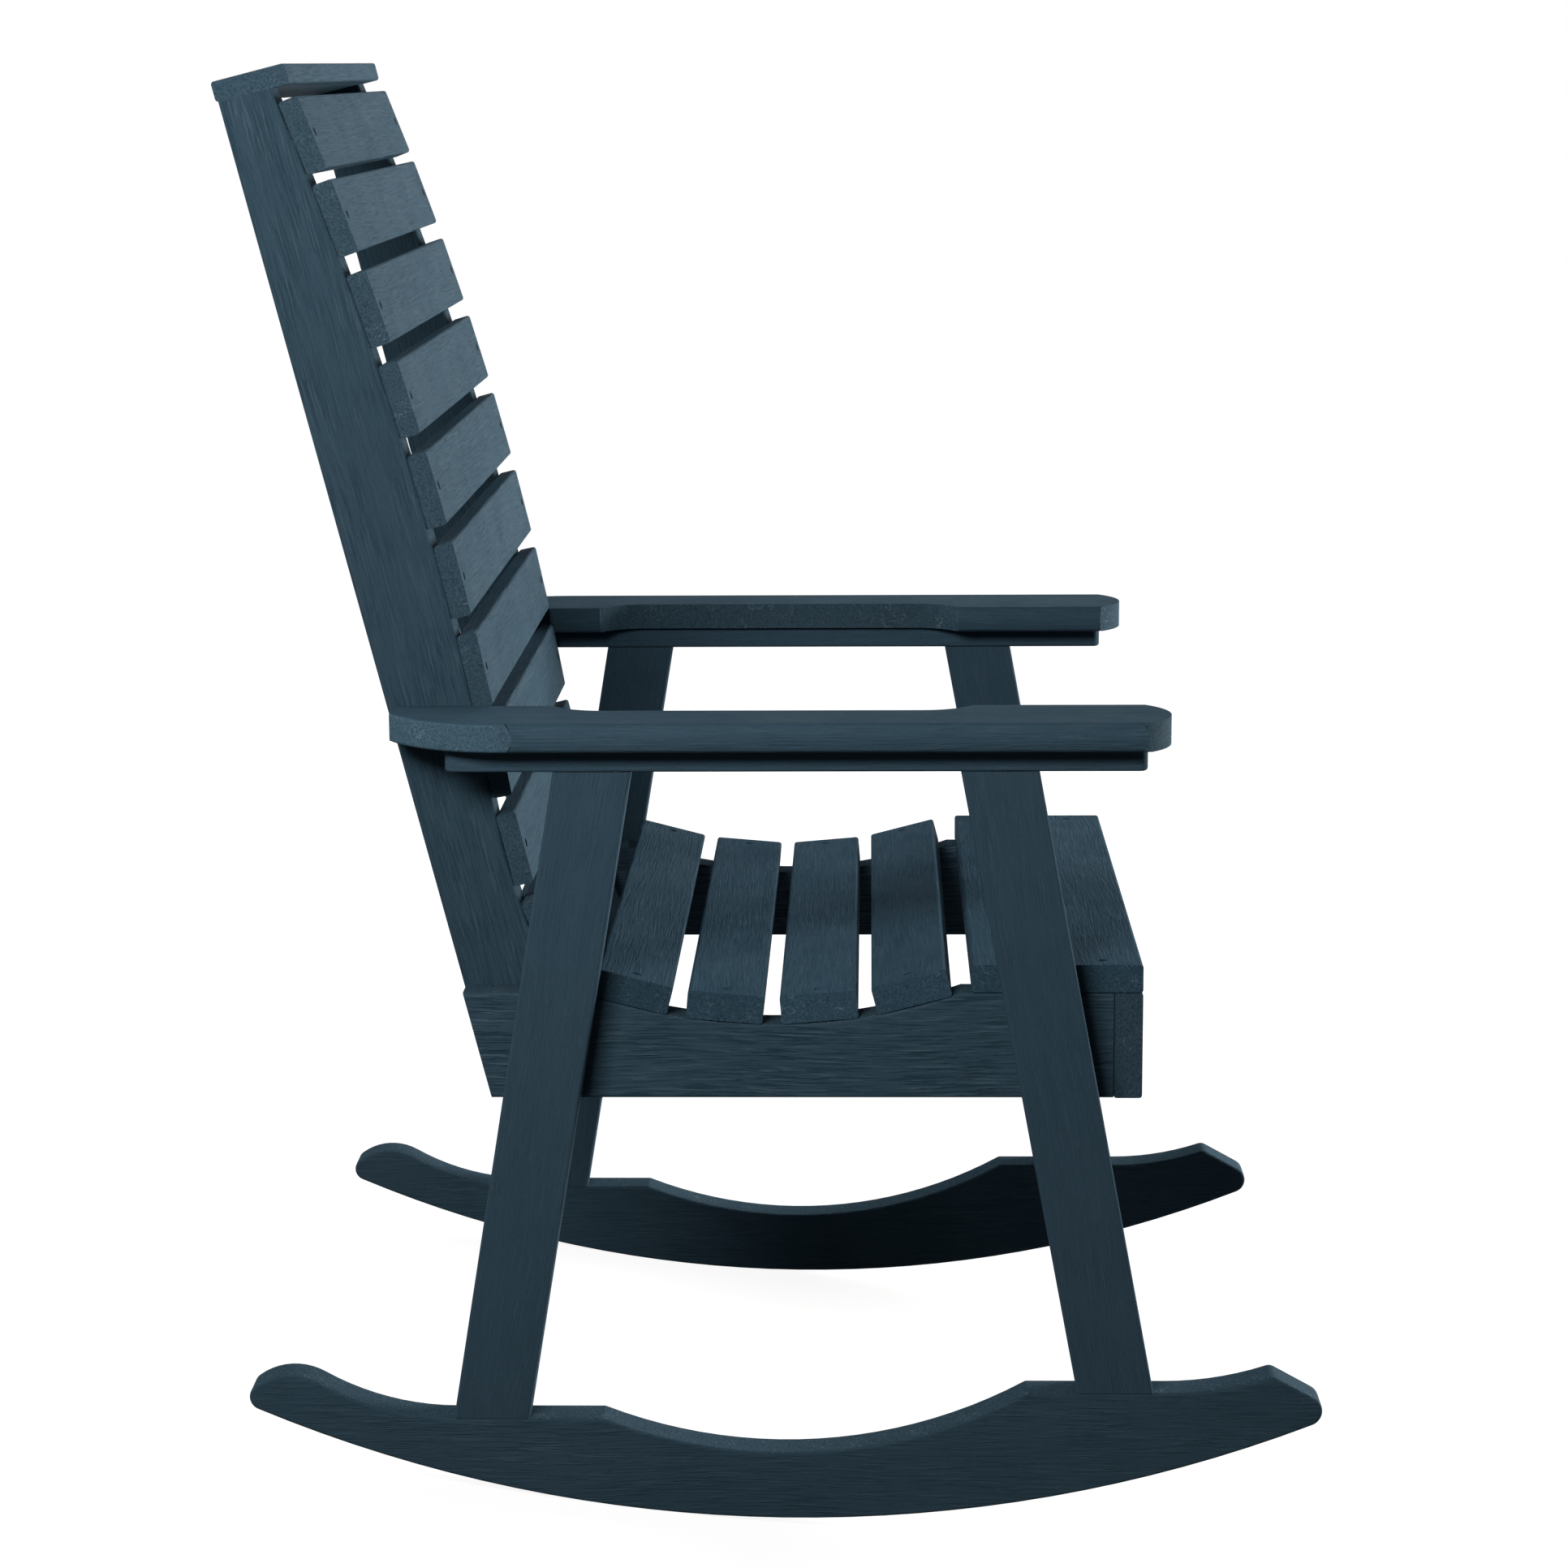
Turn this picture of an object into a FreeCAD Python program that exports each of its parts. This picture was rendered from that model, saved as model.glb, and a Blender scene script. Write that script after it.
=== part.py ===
import FreeCAD, Part
import Sketcher
import math
import os

# Outdoor rocking chair made of moulded plastic boards.
# The chair faces -Y, +Z is up, and +X is the sitter's left. It is laid out with its seat rails level, with
# places along Y counted from the low point of the runners, rearward. Every finished piece is then rolled back
# to the lean at which the empty chair comes to rest. The origin is on the floor, under the middle of the
# chair's length and width.

doc = FreeCAD.newDocument("RockingChair")
sizes = doc.addObject("Spreadsheet::Sheet", "Sizes")

# Driving dimensions: alias, value in millimetres or degrees, meaning
DIMENSIONS = [
    ("half_width", 326.5, "centre plane to the outer face of the runners and legs"),
    ("board_thick", 31.75, "thickness of the runners, legs, seat rails and back posts"),
    ("edge_round", 2.5, "rounding of the moulded long edges"),
    ("rocker_radius", 1078, "radius of the curve the chair rocks on"),
    ("rest_lean", 7, "backward lean at which the empty chair comes to rest"),
    ("rocker_front_reach", 412.8, "low point to the front tip"),
    ("rocker_rear_reach", 438.8, "low point to the rear tip"),
    ("front_tip_radius", 12.5, "rounding of the runner's front tip"),
    ("rear_tip_radius", 11, "rounding of the runner's rear tip"),
    ("front_flat_height", 105.5, "floor to the flat under the front leg"),
    ("rear_flat_height", 83.7, "floor to the flat under the rear leg"),
    ("trough_low", 55.5, "floor to the bottom of the trough between the flats"),
    ("trough_radius", 388.5, "radius of the trough"),
    ("trough_back", 11.8, "low point to the trough's centre, rearward"),
    ("front_hollow_radius", 252.3, "radius of the hollow ahead of the front leg"),
    ("front_flat_margin", 10.3, "front leg's foot to the start of the front hollow"),
    ("front_bevel_reach", 39.3, "front tip back to the peak over it"),
    ("front_peak_radius", 8, "rounding of that peak"),
    ("trough_edge_radius", 5, "rounding where the trough meets the flats"),
    ("rear_hollow_radius", 210, "radius of the hollow behind the rear leg"),
    ("hump_radius", 48, "radius of the rounded hump at the rear end"),
    ("hump_rise", 18.2, "middle of the rear tip's rounding to the top of the hump"),
    ("leg_width", 59.5, "width of the leg boards"),
    ("front_foot_reach", 248.9, "low point to the middle of the front leg's foot, forward"),
    ("front_head_reach", 155.7, "low point to the middle of the front leg's head, forward"),
    ("rear_foot_reach", 245.8, "low point to the middle of the rear leg's foot, rearward"),
    ("rear_head_reach", 158.2, "low point to the middle of the rear leg's head, rearward"),
    ("leg_top", 606.5, "floor to the heads of the legs"),
    ("support_thick", 19, "thickness of the boards between the legs and the arms"),
    ("support_front_reach", 268.8, "low point to the front end of the arm support"),
    ("support_rear_reach", 271.5, "low point to the rear end of the arm support"),
    ("support_corner", 6.5, "rounding of the arm support's corners"),
    ("arm_thick", 22.5, "thickness of the arm boards"),
    ("arm_overhang", 22.5, "arm's outer edge beyond the leg's outer face"),
    ("arm_front_reach", 287.5, "low point to the arm's nose"),
    ("arm_rear_reach", 317, "low point to the arm's rear end"),
    ("arm_nose_radius", 56, "radius of the arm's round nose"),
    ("arm_waist_depth", 25, "depth of the long cut-out inside the arm"),
    ("arm_waist_radius", 45, "radius at both ends of the cut-out"),
    ("arm_waist_front", 137.3, "low point to the front end of the cut-out, forward"),
    ("arm_waist_rear", 193, "low point to the rear end of the cut-out, rearward"),
    ("arm_sweep_radius", 102, "radius of the sweep at the arm's outer rear corner"),
    ("arm_sweep_width", 52, "width taken off the arm's rear end by the sweep"),
    ("rail_bottom", 338.7, "floor to the underside of the seat rails"),
    ("rail_top", 424, "floor to the flat tops of the seat rails"),
    ("rail_end_inset", 2.5, "rear end of the seat rail ahead of the post's rear edge"),
    ("dish_radius", 448, "radius of the dished rail top"),
    ("dish_depth", 25.4, "depth of the dish below the rail's flat top"),
    ("dish_back", 21.5, "low point to the middle of the dish, rearward"),
    ("seat_front_reach", 269.5, "low point to the front of the seat"),
    ("apron_thick", 22.5, "thickness of the front apron"),
    ("seat_slat_thick", 22.5, "thickness of the seat slats"),
    ("seat_slat_width", 60.5, "width of the narrow seat slats"),
    ("seat_slat_gap", 15.4, "gap between the narrow seat slats"),
    ("front_slat_width", 134.6, "width of the front seat slat"),
    ("slat_seat_clearance", 0.1, "clearance under a flat slat on a curved edge"),
    ("back_tilt", 14, "lean of the back posts' straight rear edge"),
    ("back_reach", 267.4, "low point to the posts' rear edge at the rail tops"),
    ("post_length", 711.1, "rail tops to the head of the post, along its rear edge"),
    ("post_foot_clearance", 4, "foot of the post above the rail's underside"),
    ("post_depth", 68.5, "greatest depth of the post"),
    ("post_bulge_height", 336.7, "rail tops to the post's deepest point"),
    ("post_bulge_radius", 2695, "radius of the post's upper front edge"),
    ("post_waist_height", 92.6, "rail tops to the narrow point above the seat"),
    ("post_waist_radius", 576, "radius of the post's lower front edge"),
    ("post_flare", 10, "angle of the post's front edge below the seat"),
    ("back_slat_thick", 15.7, "thickness of the back slats and the cap"),
    ("back_slat_width", 58.5, "width of the back slats and the cap"),
    ("back_slat_gap", 14.1, "gap between the back slats"),
    ("top_slat_gap", 7.9, "gap between the two top back slats"),
    ("top_slat_drop", 41, "head of the post to the middle of the top slat"),
    ("cap_rear_overhang", 1.5, "cap's rear edge behind the post"),
    ("cross_rail_thick", 22.5, "thickness of the rail between the posts"),
    ("cross_rail_width", 76, "width of the rail between the posts"),
    ("cross_rail_inset", 12, "rail between the posts ahead of their rear edge"),
    ("cross_rail_drop", 6, "rail between the posts below the rail tops"),
    ("screw_play", 0.1, "radial room around a screw's shank"),
    ("head_play", 0.3, "radial room around a screw's head"),
    ("socket_width", 2.6, "width of the square socket in a screw's head"),
    ("socket_depth", 1.6, "depth of the square socket in a screw's head"),
    ("slat_screw_shank", 4.2, "shank diameter of the slat screws"),
    ("slat_screw_head", 6.6, "head diameter of the slat screws"),
    ("slat_screw_head_height", 2.6, "head height of the slat screws"),
    ("slat_screw_recess", 1.8, "slat screw's head below the surface"),
    ("back_screw_length", 36, "length of the back slat screws"),
    ("seat_screw_length", 46, "length of the seat slat screws"),
    ("cap_screw_length", 46, "length of the cap screws"),
    ("arm_screw_length", 32, "length of the screws that hold the arms"),
    ("frame_screw_shank", 6, "shank diameter of the frame screws"),
    ("frame_screw_head", 11, "head diameter of the frame screws"),
    ("frame_screw_head_height", 4, "head height of the frame screws"),
    ("frame_screw_recess", 2, "frame screw's head below the surface"),
    ("front_leg_screw_length", 52, "length of the screws from the seat rail into the front leg"),
    ("rear_leg_screw_length", 84, "length of the screws through post and seat rail into the rear leg"),
    ("apron_screw_length", 50, "length of the screws through the apron"),
    ("post_arm_screw_length", 58, "length of the screws from the post into the arm"),
    ("cross_rail_screw_length", 64, "length of the screws through the post into the rail behind"),
    ("support_screw_length", 50, "length of the screws down into the legs' heads"),
    ("rocker_screw_length", 74, "length of the screws up through the runner"),
    ("rocker_screw_bite", 32, "length of that screw inside the leg"),
    ("pair_spread", 28, "distance between the two screws of a pair in a leg's end or the cross rail"),
    ("cap_screw_spread", 20, "distance between the two cap screws of a post"),
    ("front_slat_screw_spread", 72, "distance between the two screws at each end of the front slat"),
    ("rail_screw_low", 22, "underside of the seat rail to the lower frame screws"),
    ("rail_screw_high", 50, "underside of the seat rail to the upper frame screws"),
    ("rear_leg_screw_shift", 10, "rear leg's middle line to the screws through the post"),
    ("arm_screw_pitch", 96, "distance between the screws along an arm"),
]

for row, (alias, value, meaning) in enumerate(DIMENSIONS, start=1):
    sizes.set(f"A{row}", meaning)
    sizes.set(f"B{row}", str(value))
    sizes.setAlias(f"B{row}", alias)
doc.recompute()


def size(alias):
    """Expression text of one cell of the sheet."""
    return f"Sizes.{alias}"


def number(expression):
    """Present value of an expression, as a plain number."""
    value = sizes.evalExpression(expression)
    return float(getattr(value, "Value", value))


def half(expression):
    return f"(({expression}) / 2)"


# Planes along X shared by the pieces of each side
LEG_OUTER = size("half_width")
LEG_MIDDLE = f"({LEG_OUTER} - {size('board_thick')} / 2)"
RAIL_OUTER = f"({LEG_OUTER} - {size('board_thick')})"
RAIL_MIDDLE = f"({RAIL_OUTER} - {size('board_thick')} / 2)"
POST_OUTER = f"({RAIL_OUTER} - {size('board_thick')})"
POST_MIDDLE = f"({POST_OUTER} - {size('board_thick')} / 2)"
POST_INNER = f"({POST_OUTER} - {size('board_thick')})"
SIDES = (("left", 1), ("right", -1))


def from_post(along, forward):
    """Y and Z of a point given along the post's rear edge and square to it, from the rail tops."""
    tilt = size("back_tilt")
    return (f"({size('back_reach')} + {along} * sin({tilt}) - {forward} * cos({tilt}))",
            f"({size('rail_top')} + {along} * cos({tilt}) + {forward} * sin({tilt}))")


def rolled_back(y, z):
    """Place along Y of a point when the chair rests, apart from the move to the origin."""
    return f"({y} * cos({size('rest_lean')}) + {z} * sin({size('rest_lean')}))"


# The resting chair's length runs from the runners' front tips to the rounded top rear corner of the cap
FRONT_TIP_Y = f"(-{size('rocker_front_reach')} + {size('front_tip_radius')})"
FRONT_TIP_Z = (f"({size('rocker_radius')}"
               f" - sqrt(({size('rocker_radius')} - {size('front_tip_radius')})^2 - {FRONT_TIP_Y}^2))")
CAP_CORNER = from_post(f"({size('post_length')} + {size('back_slat_thick')} - {size('edge_round')})",
                       f"({size('edge_round')} - {size('cap_rear_overhang')})")
REAR_END = f"({rolled_back(*CAP_CORNER)} + {size('edge_round')})"
FRONT_END = f"({rolled_back(FRONT_TIP_Y, FRONT_TIP_Z)} - {size('front_tip_radius')})"
ORIGIN_BACK = half(f"{REAR_END} + {FRONT_END}")
REST_RISE = f"({size('rocker_radius')} * (1 - cos({size('rest_lean')})))"


def place(piece, x="0", y="0", z="0", axis=(1, 0, 0), angle=None):
    """Bind a piece's Placement to the sheet."""
    if angle is not None:
        # a small turn first, so that the rotation keeps its axis
        piece.Placement = FreeCAD.Placement(FreeCAD.Vector(), FreeCAD.Rotation(FreeCAD.Vector(*axis), 1))
        piece.setExpression("Placement.Rotation.Angle", angle)
    piece.setExpression("Placement.Base.x", x)
    piece.setExpression("Placement.Base.y", y)
    piece.setExpression("Placement.Base.z", z)


def arc_between(start, end, radius, side):
    """Arc under a half circle from start to end; side is 1 where its centre is on the left."""
    chord = end - start
    left = FreeCAD.Vector(-chord.y, chord.x, 0).normalize()
    rise = math.sqrt(radius ** 2 - (chord.Length / 2) ** 2)
    centre = start + chord * 0.5 + left * (rise * side)
    first, last = (start, end) if side > 0 else (end, start)
    begin = math.atan2(first.y - centre.y, first.x - centre.x)
    finish = math.atan2(last.y - centre.y, last.x - centre.x)
    return Part.ArcOfCircle(Part.Circle(centre, FreeCAD.Vector(0, 0, 1), radius), begin, finish)


def sketch_on(body, plane, name):
    sketch = body.newObject("Sketcher::SketchObject", f"{body.Name}_{name}")
    origin_plane = next(feature for feature in body.Origin.OriginFeatures if feature.Role == plane)
    sketch.AttachmentSupport = [(origin_plane, "")]
    sketch.MapMode = "FlatFace"
    return sketch


def outline(body, plane, corners, name="outline"):
    """Closed sketch through corners (x, y), each followed by (radius, side) where an arc leads on."""
    sketch = sketch_on(body, plane, name)
    points = [FreeCAD.Vector(number(corner[0]), number(corner[1]), 0) for corner in corners]
    starts = []
    ends = []
    for index, corner in enumerate(corners):
        start = points[index]
        end = points[(index + 1) % len(points)]
        if len(corner) == 2:
            sketch.addGeometry(Part.LineSegment(start, end), False)
            side = 1
        else:
            side = corner[3]
            sketch.addGeometry(arc_between(start, end, number(corner[2]), side), False)
        starts.append(1 if side > 0 else 2)
        ends.append(2 if side > 0 else 1)
    for index, corner in enumerate(corners):
        previous = index - 1 if index else len(corners) - 1
        join = Sketcher.Constraint("Coincident", previous, ends[previous], index, starts[index])
        sketch.addConstraint(join)
        for kind, expression, value in (("DistanceX", corner[0], points[index].x),
                                        ("DistanceY", corner[1], points[index].y)):
            where = sketch.addConstraint(Sketcher.Constraint(kind, -1, 1, index, starts[index], value))
            sketch.setExpression(f"Constraints[{where}]", expression)
        if len(corner) == 4:
            radius = Sketcher.Constraint("Radius", index, number(corner[2]))
            where = sketch.addConstraint(radius)
            sketch.setExpression(f"Constraints[{where}]", corner[2])
    return sketch


def pad(body, sketch, length, symmetric=False):
    feature = body.newObject("PartDesign::Pad", f"{body.Name}_pad")
    feature.Profile = sketch
    feature.SideType = "Symmetric" if symmetric else "One side"
    feature.setExpression("Length", length)
    doc.recompute()
    return feature


def fillet(body, base, radius, wanted, name="fillet"):
    """Round the edges of the last feature that the test picks."""
    names = [f"Edge{index}" for index, edge in enumerate(base.Shape.Edges, start=1) if wanted(edge)]
    feature = body.newObject("PartDesign::Fillet", f"{body.Name}_{name}")
    feature.Base = (base, names)
    feature.setExpression("Radius", radius)
    doc.recompute()
    return feature


def new_body(name):
    return doc.addObject("PartDesign::Body", name)


def moulded_section(body, plane, width, thick, name="section"):
    """Rounded rectangle, thick along the sketch's x and wide along its y, with one face on its y axis."""
    bend = size("edge_round")
    low = f"-{half(width)}"
    high = half(width)
    front = f"-({thick})"
    corners = [
        (f"{front} + {bend}", low),
        (f"-{bend}", low, bend, 1),
        ("0", f"{low} + {bend}"),
        ("0", f"{high} - {bend}", bend, 1),
        (f"-{bend}", high),
        (f"{front} + {bend}", high, bend, 1),
        (front, f"{high} - {bend}"),
        (front, f"{low} + {bend}", bend, 1),
    ]
    return outline(body, plane, corners, name)


def cross_board(name, width, thick, length):
    """Board along X with its back face on the local plane y = 0 and its width along Z."""
    body = new_body(name)
    pad(body, moulded_section(body, "YZ_Plane", width, thick), length, symmetric=True)
    return body


def along_board(edge):
    """Edges of a side board's two broad faces."""
    ends = edge.Vertexes
    return abs(ends[0].X - ends[-1].X) < 1e-6


FRONT_FOOT = f"(-{size('front_foot_reach')})"
FRONT_HEAD = f"(-{size('front_head_reach')})"
REAR_FOOT = size("rear_foot_reach")
REAR_HEAD = size("rear_head_reach")


def leg_across(foot, head, flat):
    """Half of a raked leg's width, measured level."""
    rise = f"({size('leg_top')} - {flat})"
    return f"({size('leg_width')} / 2 * sqrt(({head} - {foot})^2 + {rise}^2) / {rise})"


# Runners
def rocker(name, side):
    radius = size("rocker_radius")
    rear_y = f"({size('rocker_rear_reach')} - {size('rear_tip_radius')})"
    rear_z = f"({radius} - sqrt(({radius} - {size('rear_tip_radius')})^2 - {rear_y}^2))"
    front_scale = f"({radius} / ({radius} - {size('front_tip_radius')}))"
    rear_scale = f"({radius} / ({radius} - {size('rear_tip_radius')}))"
    # the hump's circle holds the tip's circle, and the hollow's circle touches the hump's
    hump = size("hump_radius")
    hump_z = f"({rear_z} + {size('hump_rise')} - {hump})"
    hump_y = f"({rear_y} - sqrt(({hump} - {size('rear_tip_radius')})^2 - ({rear_z} - {hump_z})^2))"
    hump_scale = f"({hump} / ({hump} - {size('rear_tip_radius')}))"
    hollow = size("rear_hollow_radius")
    hollow_z = f"({size('rear_flat_height')} + {hollow})"
    hollow_y = f"({hump_y} - sqrt(({hump} + {hollow})^2 - ({hollow_z} - {hump_z})^2))"
    hollow_share = f"({hump} / ({hump} + {hollow}))"
    trough = size("trough_radius")
    trough_z = f"({size('trough_low')} + {trough})"
    rear_edge = f"({size('trough_back')} + sqrt({trough}^2 - ({trough_z} - {size('rear_flat_height')})^2))"
    front_edge = f"({size('trough_back')} - sqrt({trough}^2 - ({trough_z} - {size('front_flat_height')})^2))"
    # the bevel runs from the peak to the front tip's circle
    front_hollow = size("front_hollow_radius")
    flat_end = f"({FRONT_FOOT} - {leg_across(FRONT_FOOT, FRONT_HEAD, size('front_flat_height'))}"
    flat_end += f" - {size('front_flat_margin')})"
    peak_y = f"(-{size('rocker_front_reach')} + {size('front_bevel_reach')})"
    run = f"({flat_end} - {peak_y})"
    peak_z = f"({size('front_flat_height')} + {front_hollow} - sqrt({front_hollow}^2 - {run}^2))"
    step_y = f"({FRONT_TIP_Y} - {peak_y})"
    step_z = f"({FRONT_TIP_Z} - {peak_z})"
    reach = f"({step_y}^2 + {step_z}^2)"
    tip = size("front_tip_radius")
    tangent = f"sqrt({reach} - {tip}^2)"
    bevel_y = f"({peak_y} + {tangent} * ({step_y} * {tangent} + {step_z} * {tip}) / {reach})"
    bevel_z = f"({peak_z} + {tangent} * ({step_z} * {tangent} - {step_y} * {tip}) / {reach})"
    corners = [
        (f"{FRONT_TIP_Y} * {front_scale}",
         f"{radius} + ({FRONT_TIP_Z} - {radius}) * {front_scale}", radius, 1),
        (f"{rear_y} * {rear_scale}", f"{radius} + ({rear_z} - {radius}) * {rear_scale}",
         size("rear_tip_radius"), 1),
        (f"{hump_y} + ({rear_y} - {hump_y}) * {hump_scale}",
         f"{hump_z} + ({rear_z} - {hump_z}) * {hump_scale}", hump, 1),
        (f"{hump_y} + ({hollow_y} - {hump_y}) * {hollow_share}",
         f"{hump_z} + ({hollow_z} - {hump_z}) * {hollow_share}", hollow, -1),
        (hollow_y, size("rear_flat_height")),
        (rear_edge, size("rear_flat_height"), trough, -1),
        (front_edge, size("front_flat_height")),
        (flat_end, size("front_flat_height"), front_hollow, -1),
        (peak_y, peak_z),
        (bevel_y, bevel_z, tip, 1),
    ]
    body = new_body(name)
    board = pad(body, outline(body, "YZ_Plane", corners), size("board_thick"), symmetric=True)

    def crest_at(*places):
        targets = [number(place_y) for place_y in places]

        def wanted(edge):
            first, last = edge.Vertexes[0], edge.Vertexes[-1]
            across = abs(first.Y - last.Y) < 1e-6 and abs(first.Z - last.Z) < 1e-6
            return across and any(abs(first.Y - target) < 1e-6 for target in targets)

        return wanted

    board = fillet(body, board, size("trough_edge_radius"), crest_at(rear_edge, front_edge), "trough_edges")
    board = fillet(body, board, size("front_peak_radius"), crest_at(peak_y), "peak")
    fillet(body, board, size("edge_round"), along_board)
    place(body, f"{side} * {LEG_MIDDLE}")
    return body


# Legs
def leg(name, side, foot, head, flat):
    """Raked board that stands on the runner's flat; foot and head are the middles of its ends along Y."""
    across = leg_across(foot, head, flat)
    corners = [
        (f"{foot} - {across}", flat),
        (f"{foot} + {across}", flat),
        (f"{head} + {across}", size("leg_top")),
        (f"{head} - {across}", size("leg_top")),
    ]
    body = new_body(name)
    board = pad(body, outline(body, "YZ_Plane", corners), size("board_thick"), symmetric=True)

    def long_edge(edge):
        return along_board(edge) and edge.Length > number(f"{size('leg_top')} - {flat}")

    fillet(body, board, size("edge_round"), long_edge)
    place(body, f"{side} * {LEG_MIDDLE}")
    return body


def leg_middle(foot, head, flat, height):
    """Place along Y of a leg's middle line at a height."""
    return f"({foot} + ({head} - {foot}) * ({height} - {flat}) / ({size('leg_top')} - {flat}))"


# Arms and the boards under them
def arm_support(name, side):
    front = f"(-{size('support_front_reach')})"
    rear = size("support_rear_reach")
    wide = half(size("board_thick"))
    bend = size("support_corner")
    corners = [
        (f"-{wide} + {bend}", front),
        (f"{wide} - {bend}", front, bend, 1),
        (wide, f"{front} + {bend}"),
        (wide, f"{rear} - {bend}", bend, 1),
        (f"{wide} - {bend}", rear),
        (f"-{wide} + {bend}", rear, bend, 1),
        (f"-{wide}", f"{rear} - {bend}"),
        (f"-{wide}", f"{front} + {bend}", bend, 1),
    ]
    body = new_body(name)
    board = pad(body, outline(body, "XY_Plane", corners), size("support_thick"))

    def level(edge):
        return abs(edge.Vertexes[0].Z - edge.Vertexes[-1].Z) < 1e-6

    fillet(body, board, size("edge_round"), level)
    place(body, f"{side} * {LEG_MIDDLE}", "0", size("leg_top"))
    return body


ARM_BOTTOM = f"({size('leg_top')} + {size('support_thick')})"
ARM_TOP = f"({ARM_BOTTOM} + {size('arm_thick')})"
ARM_OUTER = f"({LEG_OUTER} + {size('arm_overhang')})"


def arm(name, side):
    """Arm board seen from above: straight outside, round nose, long cut-out inside, sweep at the rear."""
    inner = POST_OUTER
    outer = ARM_OUTER
    nose = size("arm_nose_radius")
    shoulder = f"(-{size('arm_front_reach')} + {nose} - sqrt({nose}^2 - ({outer} - {inner})^2 / 4))"
    depth = size("arm_waist_depth")
    bend = size("arm_waist_radius")
    waist = f"({inner} + {depth})"
    fade = f"sqrt(2 * {bend} * {depth} - {depth}^2)"
    front = f"(-{size('arm_waist_front')})"
    rear = size("arm_waist_rear")
    end = size("arm_rear_reach")
    sweep = size("arm_sweep_radius")
    narrow = size("arm_sweep_width")
    sweep_start = f"({end} - sqrt(2 * {sweep} * {narrow} - {narrow}^2))"
    corners = [
        (inner, shoulder, nose, 1),
        (outer, shoulder),
        (outer, sweep_start, sweep, 1),
        (f"{outer} - {narrow}", end),
        (inner, end),
        (inner, rear, bend, -1),
        (waist, f"{rear} - {fade}"),
        (waist, f"{front} + {fade}", bend, -1),
        (inner, front),
    ]
    if side < 0:
        corners = [(f"-({corner[0]})", corner[1], *corner[2:3], *(-turn for turn in corner[3:]))
                   for corner in corners]
    body = new_body(name)
    board = pad(body, outline(body, "XY_Plane", corners), size("arm_thick"))

    def moulded_edge(edge):
        first, last = edge.Vertexes[0], edge.Vertexes[-1]
        at_side = min(abs(abs(first.X) - number(inner)), abs(abs(first.X) - number(outer))) < 1e-6
        return at_side and abs(first.X - last.X) < 1e-6 and abs(first.Z - last.Z) < 1e-6

    fillet(body, board, size("edge_round"), moulded_edge)
    place(body, "0", "0", ARM_BOTTOM)
    return body


# Seat
def rear_edge_at(height):
    """Place along Y of the posts' straight rear edge at a height."""
    return f"({size('back_reach')} + ({height} - {size('rail_top')}) * tan({size('back_tilt')}))"


RAIL_FRONT = f"(-{size('seat_front_reach')} + {size('apron_thick')})"
DISH_CENTRE_Z = f"({size('rail_top')} - {size('dish_depth')} + {size('dish_radius')})"


def seat_rail(name, side):
    bottom = size("rail_bottom")
    top = size("rail_top")
    inset = size("rail_end_inset")
    radius = size("dish_radius")
    spread = f"sqrt({radius}^2 - ({DISH_CENTRE_Z} - {top})^2)"
    corners = [
        (RAIL_FRONT, bottom),
        (f"{rear_edge_at(bottom)} - {inset}", bottom),
        (f"{rear_edge_at(top)} - {inset}", top),
        (f"{size('dish_back')} + {spread}", top, radius, -1),
        (f"{size('dish_back')} - {spread}", top),
        (RAIL_FRONT, top),
    ]
    body = new_body(name)
    board = pad(body, outline(body, "YZ_Plane", corners), size("board_thick"), symmetric=True)

    def lengthwise(edge):
        run = abs(edge.Vertexes[0].Y - edge.Vertexes[-1].Y)
        rise = abs(edge.Vertexes[0].Z - edge.Vertexes[-1].Z)
        return along_board(edge) and rise < run

    fillet(body, board, size("edge_round"), lengthwise)
    place(body, f"{side} * {RAIL_MIDDLE}")
    return body


SEAT_LENGTH = f"(2 * {RAIL_OUTER})"
BACK_LENGTH = f"(2 * {POST_OUTER})"
NARROW_SLATS = 4


def front_apron():
    height = f"({size('rail_top')} - {size('rail_bottom')})"
    body = cross_board("front_apron_board", height, size("apron_thick"), SEAT_LENGTH)
    place(body, "0", RAIL_FRONT, f"{size('rail_bottom')} + {half(height)}")
    return body


def front_seat_slat():
    width = size("front_slat_width")
    body = cross_board("seat_slat_front_board", width, size("seat_slat_thick"), SEAT_LENGTH)
    place(body, "0", f"-{size('seat_front_reach')} + {half(width)}", size("rail_top"), angle="-90deg")
    return body


def seat_slat_angle(index):
    """Angle of a narrow slat round the dish, positive ahead of its middle."""
    pitch = f"(({size('seat_slat_width')} + {size('seat_slat_gap')}) / {size('dish_radius')} * 1rad)"
    return f"({(NARROW_SLATS - 1) / 2 - index} * {pitch})"


def chord_distance(radius, width):
    """Distance from a hollow's centre to the flat back of a slat that rests on it with both edges."""
    return f"(sqrt({radius}^2 - ({width} / 2 - {size('edge_round')})^2) - {size('slat_seat_clearance')})"


def on_dish(index, height="0"):
    """Place along Y and Z over the middle of a narrow seat slat's underside."""
    distance = f"({chord_distance(size('dish_radius'), size('seat_slat_width'))} - {height})"
    angle = seat_slat_angle(index)
    return (f"({size('dish_back')} - {distance} * sin({angle}))",
            f"({DISH_CENTRE_Z} - {distance} * cos({angle}))")


def narrow_seat_slat(index):
    name = f"seat_slat_{index + 2}_board"
    body = cross_board(name, size("seat_slat_width"), size("seat_slat_thick"), SEAT_LENGTH)
    y, z = on_dish(index)
    place(body, "0", y, z, angle=f"-90deg - {seat_slat_angle(index)}")
    return body


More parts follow.
